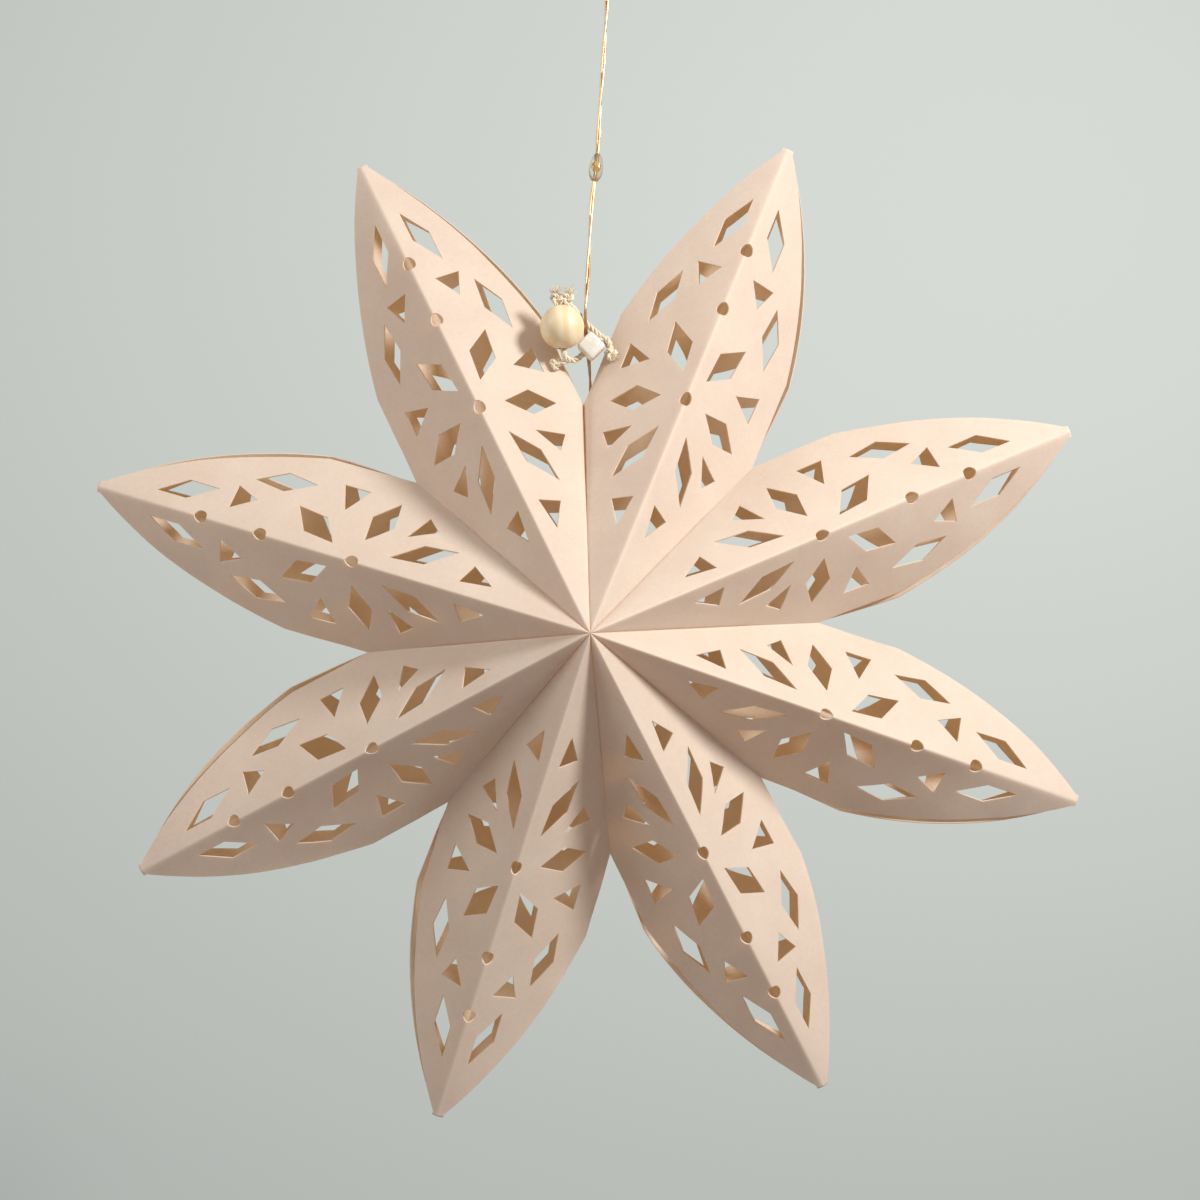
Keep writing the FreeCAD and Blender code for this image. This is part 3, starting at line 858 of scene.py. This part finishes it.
def square_bead():
    """A small cube with generous round edges."""
    mesh = bmesh.new()
    bmesh.ops.create_cube(mesh, size=SQUARE_BEAD_SIDE * MM)
    bmesh.ops.bevel(mesh, geom=mesh.edges[:], offset=0.75 * MM, segments=5, profile=0.5, affect="EDGES")
    turn = Matrix.Rotation(-SQUARE_BEAD_TURN, 4, "Y")
    bmesh.ops.transform(mesh, matrix=Matrix.Translation(SQUARE_BEAD * MM) @ turn, verts=mesh.verts)
    return placed_piece("milky_cube_bead", mesh, milky, 60.0)


bead, cube = round_bead(), square_bead()
for piece, name, slot_name in ((cord_piece, "cord_loop", "cotton_cord"), (bead, "round_bead", "round_bead"),
                               (cube, "square_bead", "square_bead")):
    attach(piece, "root")
    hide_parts(name)
print("beads", bead.name, cube.name)

# %% [markdown]
# ## The light wire
# Two lacquered wires lie side by side in a slow twist. They come down from an eye above, carry one clear drop
# with a small amber chip, and go in at the opening behind the beads.

# %% Light wire
WIRE_RADIUS = 0.48
WIRE_STRAND = 0.235
WIRE_PITCH = 31.0
DROP_CENTRE = (0.9, -0.6, 98.5)
WIRE_ENTRY = (-0.4, -1.2, 52.5)
WIRE_ROUTE = [(0.6, 1.0, 37.0), (-0.2, 0.2, 45.0), WIRE_ENTRY, (-0.7, -2.6, 57.0), (-1.2, -3.6, 61.0),
              (-1.5, -6.7, 65.2), (-1.2, -5.8, 70.5), (-0.6, -3.0, 80.0), (-0.3, -1.4, 90.7), DROP_CENTRE,
              (1.2, -0.3, 104.0), (1.6, -0.1, 111.1), (2.4, 0.0, 122.0), (3.2, 0.0, 134.6), (3.6, 0.0, 147.0)]
DROP_LENGTH = 6.2
DROP_RADIUS = 1.5
EYE_RADIUS = 5.0

holder, raw = line_of("wire_line", WIRE_ROUTE)
wire_points, wire_run = even_points(raw, 0.5 * MM)
wire_mesh = bmesh.new()
plied(wire_mesh, wire_points, 2, WIRE_STRAND * MM, WIRE_STRAND * MM, WIRE_PITCH * MM, 0.6, sides=10)
wire_piece = placed_piece("twin_light_wire", wire_mesh, copper)
bpy.data.objects.remove(holder)
print("wire length", round(wire_run / MM, 1), "mm")


def eye_points():
    middle = Vector(WIRE_ROUTE[-1]) + Vector((0, 0, EYE_RADIUS + WIRE_RADIUS))
    turns = [2 * math.pi * i / 90 for i in range(90)]
    return [(middle + Vector((EYE_RADIUS * math.sin(t), 0, -EYE_RADIUS * math.cos(t)))) * MM for t in turns]


eye_mesh = bmesh.new()
ring_line = eye_points()
plied(eye_mesh, ring_line + ring_line[:1], 2, WIRE_STRAND * MM, WIRE_STRAND * MM,
      2 * math.pi * EYE_RADIUS / 4 * MM, sides=10)
eye_piece = placed_piece("wire_eye_ring", eye_mesh, copper)


def drop_shape(name, radius, half_length, material, sides=32, swell_out=0.0):
    """A long drop of resin that thins towards both ends along the wire."""
    centre = min(wire_points, key=lambda p: (p - Vector(DROP_CENTRE) * MM).length)
    at = wire_points.index(centre)
    axis = (wire_points[at + 2] - wire_points[at - 2]).normalized()
    side = axis.cross(Vector((0, 1, 0))).normalized()
    third = axis.cross(side)
    mesh = bmesh.new()
    rings = []
    for i in range(25):
        t = math.pi * (0.03 + 0.94 * i / 24)
        size = radius * math.sin(t) ** 0.85 * (1 + swell_out * math.cos(t))
        ring = []
        for k in range(sides):
            u = 2 * math.pi * k / sides
            ring.append(mesh.verts.new(centre + (axis * -half_length * math.cos(t)
                                                 + (side * math.cos(u) + third * math.sin(u)) * size) * MM))
        rings.append(ring)
    linked(mesh, rings)
    return placed_piece(name, mesh, material)


drop = drop_shape("resin_drop", DROP_RADIUS, DROP_LENGTH / 2, resin, swell_out=0.12)
chip = drop_shape("light_chip", 0.7, 1.1, chip_paint, sides=6)
for piece, name, slot_name in ((wire_piece, "hanging_wire", "light_wire"), (eye_piece, "wire_eye", "light_wire"),
                               (drop, "light_drop", "light_drop"), (chip, "light_drop", "light_drop")):
    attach(piece, "root")
    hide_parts(name)
print("light wire pieces", wire_piece.name, eye_piece.name, drop.name, chip.name)

# %% [markdown]
# ## Stage, lamps and camera
# A plain pale wall stands well behind the star. A stronger lamp lights it from the upper right and a wide soft
# one from the upper left, and the camera stands where the photograph was taken.

# %% Stage and lamps
WALL_PLACE = 420.0
WALL_SIZE = 3200.0


def area_lamp(name, place, target, size, power):
    data = bpy.data.lights.new(name, "AREA")
    data.shape = "DISK"
    data.size = size * MM
    data.energy = power
    lamp = bpy.data.objects.new(name, data)
    lamp.location = Vector(place) * MM
    aim = (Vector(target) - Vector(place)).normalized()
    lamp.rotation_euler = aim.to_track_quat("-Z", "Y").to_euler()
    bpy.context.scene.collection.objects.link(lamp)
    return lamp


wall_data = bpy.data.meshes.new("pale_wall")
half = WALL_SIZE / 2 * MM
wall_data.from_pydata([(-half, WALL_PLACE * MM, -half), (half, WALL_PLACE * MM, -half),
                       (half, WALL_PLACE * MM, half), (-half, WALL_PLACE * MM, half)], [], [(0, 1, 2, 3)])
wall = bpy.data.objects.new("pale_wall", wall_data)
bpy.context.scene.collection.objects.link(wall)
wall_paint, tree = new_material("pale_wall_paint")
output(tree, node(tree, "ShaderNodeBsdfDiffuse", {"Color": colour("#dfe3dd")}).outputs[0])
wall_data.materials.append(wall_paint)

STAR_CENTRE = (0, 0, 0)
key = area_lamp("key_lamp", place=(430, -330, 330), target=STAR_CENTRE, size=130, power=4.4)
fill = area_lamp("fill_lamp", place=(-520, -300, 320), target=STAR_CENTRE, size=320, power=1.5)
world = bpy.data.worlds.new("room")
bpy.context.scene.world = world
world.use_nodes = True
world.node_tree.nodes["Background"].inputs[0].default_value = colour("#f2f4f6")
world.node_tree.nodes["Background"].inputs[1].default_value = 0.36
print("lamps", key.name, fill.name)

# %% Camera
CAMERA_PLACE = (3.5, -314.9, 9.0)
CAMERA_AIM = (-0.0059, 0.9999, -0.0097)
LENS = 43.9

camera_data = bpy.data.cameras.new("camera")
camera_data.sensor_width = 36.0
camera_data.lens = LENS
camera = bpy.data.objects.new("camera", camera_data)
camera.location = Vector(CAMERA_PLACE) * MM
camera.rotation_euler = Vector(CAMERA_AIM).to_track_quat("-Z", "Y").to_euler()
bpy.context.scene.collection.objects.link(camera)
scene = bpy.context.scene
scene.camera = camera
scene.render.resolution_x = 1200
scene.render.resolution_y = 1200
scene.view_settings.view_transform = "Standard"
print("camera", [round(c, 1) for c in CAMERA_PLACE], "lens", LENS)
